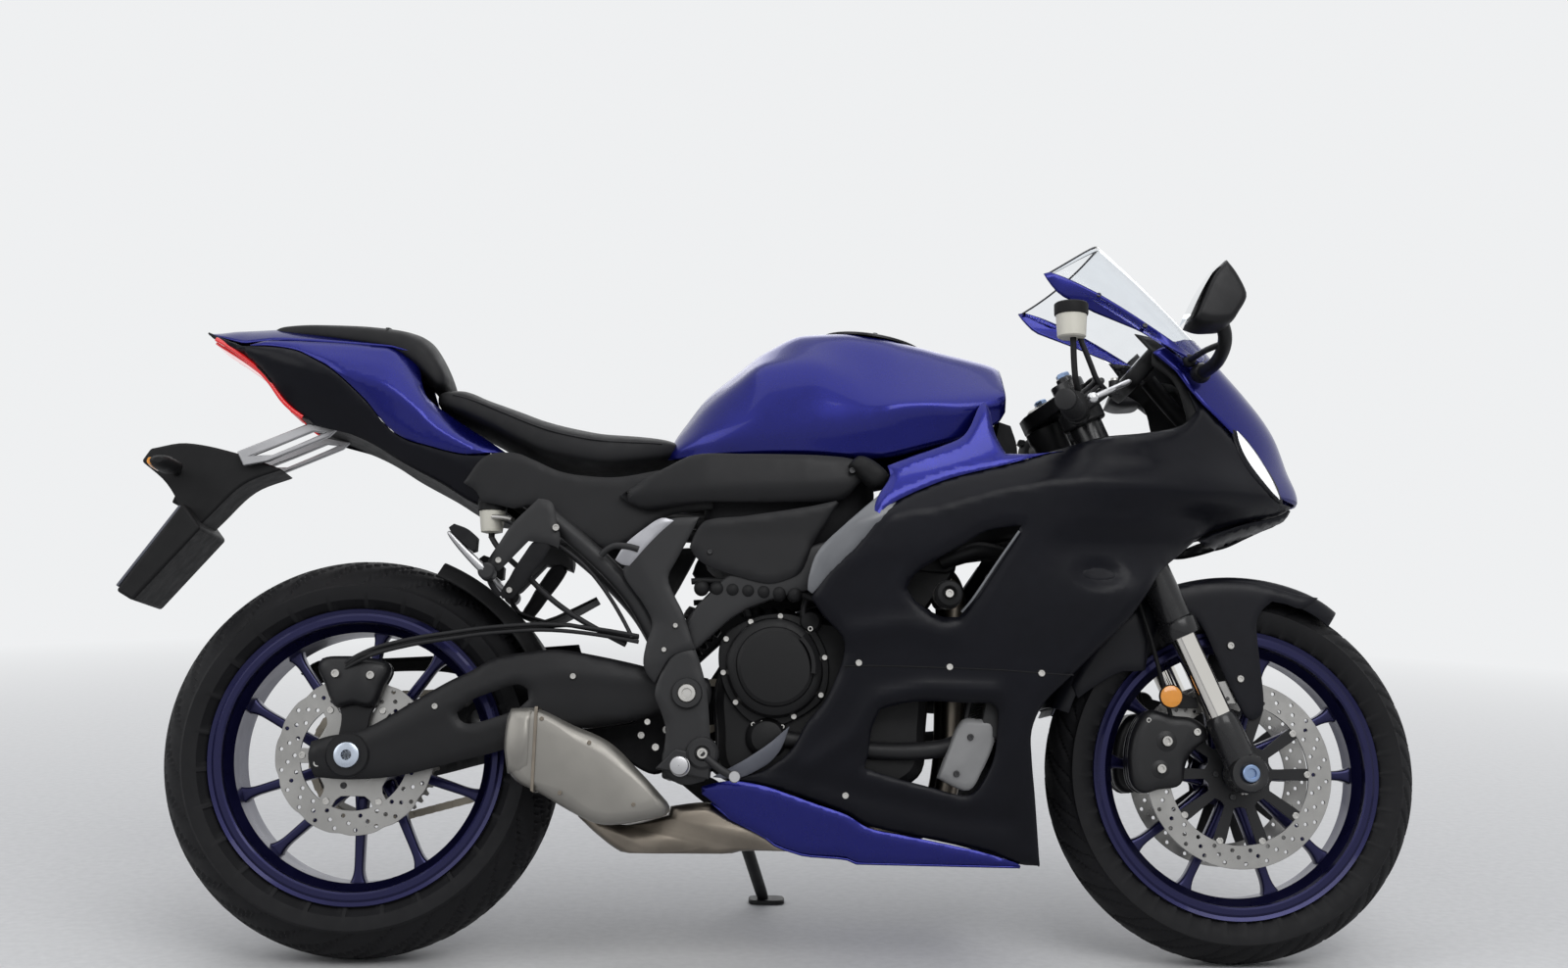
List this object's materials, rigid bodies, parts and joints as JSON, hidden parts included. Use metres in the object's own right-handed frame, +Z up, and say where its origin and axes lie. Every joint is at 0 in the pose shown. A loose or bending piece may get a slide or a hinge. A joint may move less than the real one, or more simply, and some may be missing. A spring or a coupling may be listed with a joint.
{
  "type": "sport motorcycle",
  "caption": "Faired sport motorcycle leaning on its side stand, with turning wheels, steering, folding side stand and hinged fuel cap.",
  "frame": {"origin": "middle of the footprint box, on the floor under the parked machine", "axes": "+X forward, +Y to the rider's left, +Z up; the machine leans 11 degrees to +Y"},
  "size_m": [2.0818, 0.7643, 1.1626],
  "materials": {
    "tyre": "rubber tread",
    "rim_blue": "satin indigo paint",
    "disc_steel": "ground steel",
    "sprocket_steel": "machined",
    "axle_alloy": "anodised",
    "fork_black": "satin black",
    "clamp_black": "satin black",
    "grip_rubber": "ribbed",
    "lever_alloy": "polished",
    "reservoir_plastic": "translucent white",
    "caliper_black": "gloss black",
    "panel_dark": "satin near-black navy",
    "arm_grey": "satin dark grey",
    "trim_black": "moulded",
    "chain_steel": "oiled",
    "frame_grey": "satin dark grey",
    "engine_black": "satin black",
    "radiator_black": "matt black",
    "coolant_grey": "moulded grey",
    "exhaust_steel": "heat-tinted stainless",
    "muffler_satin": "satin stainless",
    "paint_blue": "gloss metallic deep blue",
    "screen_clear": "clear",
    "cap_black": "satin black",
    "seat_black": "grained vinyl",
    "lamp_red": "clear red lens",
    "peg_alloy": "cast",
    "lamp_clear": "clear lens",
    "stand_black": "gloss black"
  },
  "bodies": {
    "root": {"rear_axle": "axle_alloy", "rear_caliper": "caliper_black", "swingarm": "arm_grey", "pivot_shaft": "axle_alloy", "rear_hugger": "trim_black", "drive_chain": "chain_steel", "chain_guard": "trim_black", "rear_shock": "clamp_black", "main_frame": "frame_grey", "subframe": "frame_grey", "crankcase": "engine_black", "cylinder_block": "engine_black", "engine_covers": "engine_black", "radiator": "radiator_black", "coolant_reservoir": "coolant_grey", "exhaust_pipes": "exhaust_steel", "muffler": "muffler_satin", "side_fairings": "panel_dark", "belly_pan": "paint_blue", "upper_fairing": "paint_blue", "windscreen": "screen_clear", "fuel_tank": "paint_blue", "tank_side_panels": "trim_black", "rider_seat": "seat_black", "pillion_pad": "seat_black", "tail_cowl": "paint_blue", "tail_lamp": "lamp_red", "plate_holder": "trim_black", "foot_pegs": "peg_alloy", "mirrors": "trim_black", "headlamp": "lamp_clear", "instrument": "trim_black", "frame_sliders": "trim_black", "rear_reservoir": "reservoir_plastic", "rear_brake_hose": "trim_black"},
    "steering": {"triple_clamps": "clamp_black", "fork_tubes": "fork_black", "fork_sliders": "fork_black", "front_axle": "axle_alloy", "clip_ons": "clamp_black", "grips": "grip_rubber", "levers": "lever_alloy", "brake_reservoir": "reservoir_plastic", "front_calipers": "caliper_black", "front_fender": "panel_dark", "front_brake_hoses": "trim_black"},
    "front_wheel": {"front_rim": "rim_blue", "front_tyre": "tyre", "front_discs": "disc_steel"},
    "rear_wheel": {"rear_rim": "rim_blue", "rear_tyre": "tyre", "rear_disc": "disc_steel", "sprocket": "sprocket_steel"},
    "side_stand": {"side_stand": "stand_black"},
    "fuel_cap": {"fuel_cap": "cap_black"}
  },
  "joints": [
    {"name": "steering", "type": "hinge", "parent": "root", "child": "steering", "pos_m": [0.48965, -0.01202, 0.76573], "axis": [-0.4019, 0.1747, 0.8988], "range_deg": [-27, 27]},
    {"name": "front_wheel_spin", "type": "hinge", "parent": "steering", "child": "front_wheel", "pos_m": [0.74205, -0.1034, 0.29559], "axis": [0, 0.9816, -0.1908], "continuous": true},
    {"name": "rear_wheel_spin", "type": "hinge", "parent": "root", "child": "rear_wheel", "pos_m": [-0.65295, -0.10042, 0.31096], "axis": [0, 0.9816, -0.1908], "continuous": true},
    {"name": "side_stand", "type": "hinge", "parent": "root", "child": "side_stand", "pos_m": [-0.06495, 0.04935, 0.22197], "axis": [0, 0.8141, 0.5807], "range_deg": [0, 88]},
    {"name": "fuel_cap", "type": "hinge", "parent": "root", "child": "fuel_cap", "pos_m": [0.22217, 0.03072, 0.9856], "axis": [0, 0.9816, -0.1908], "range_deg": [0, 95]}
  ]
}
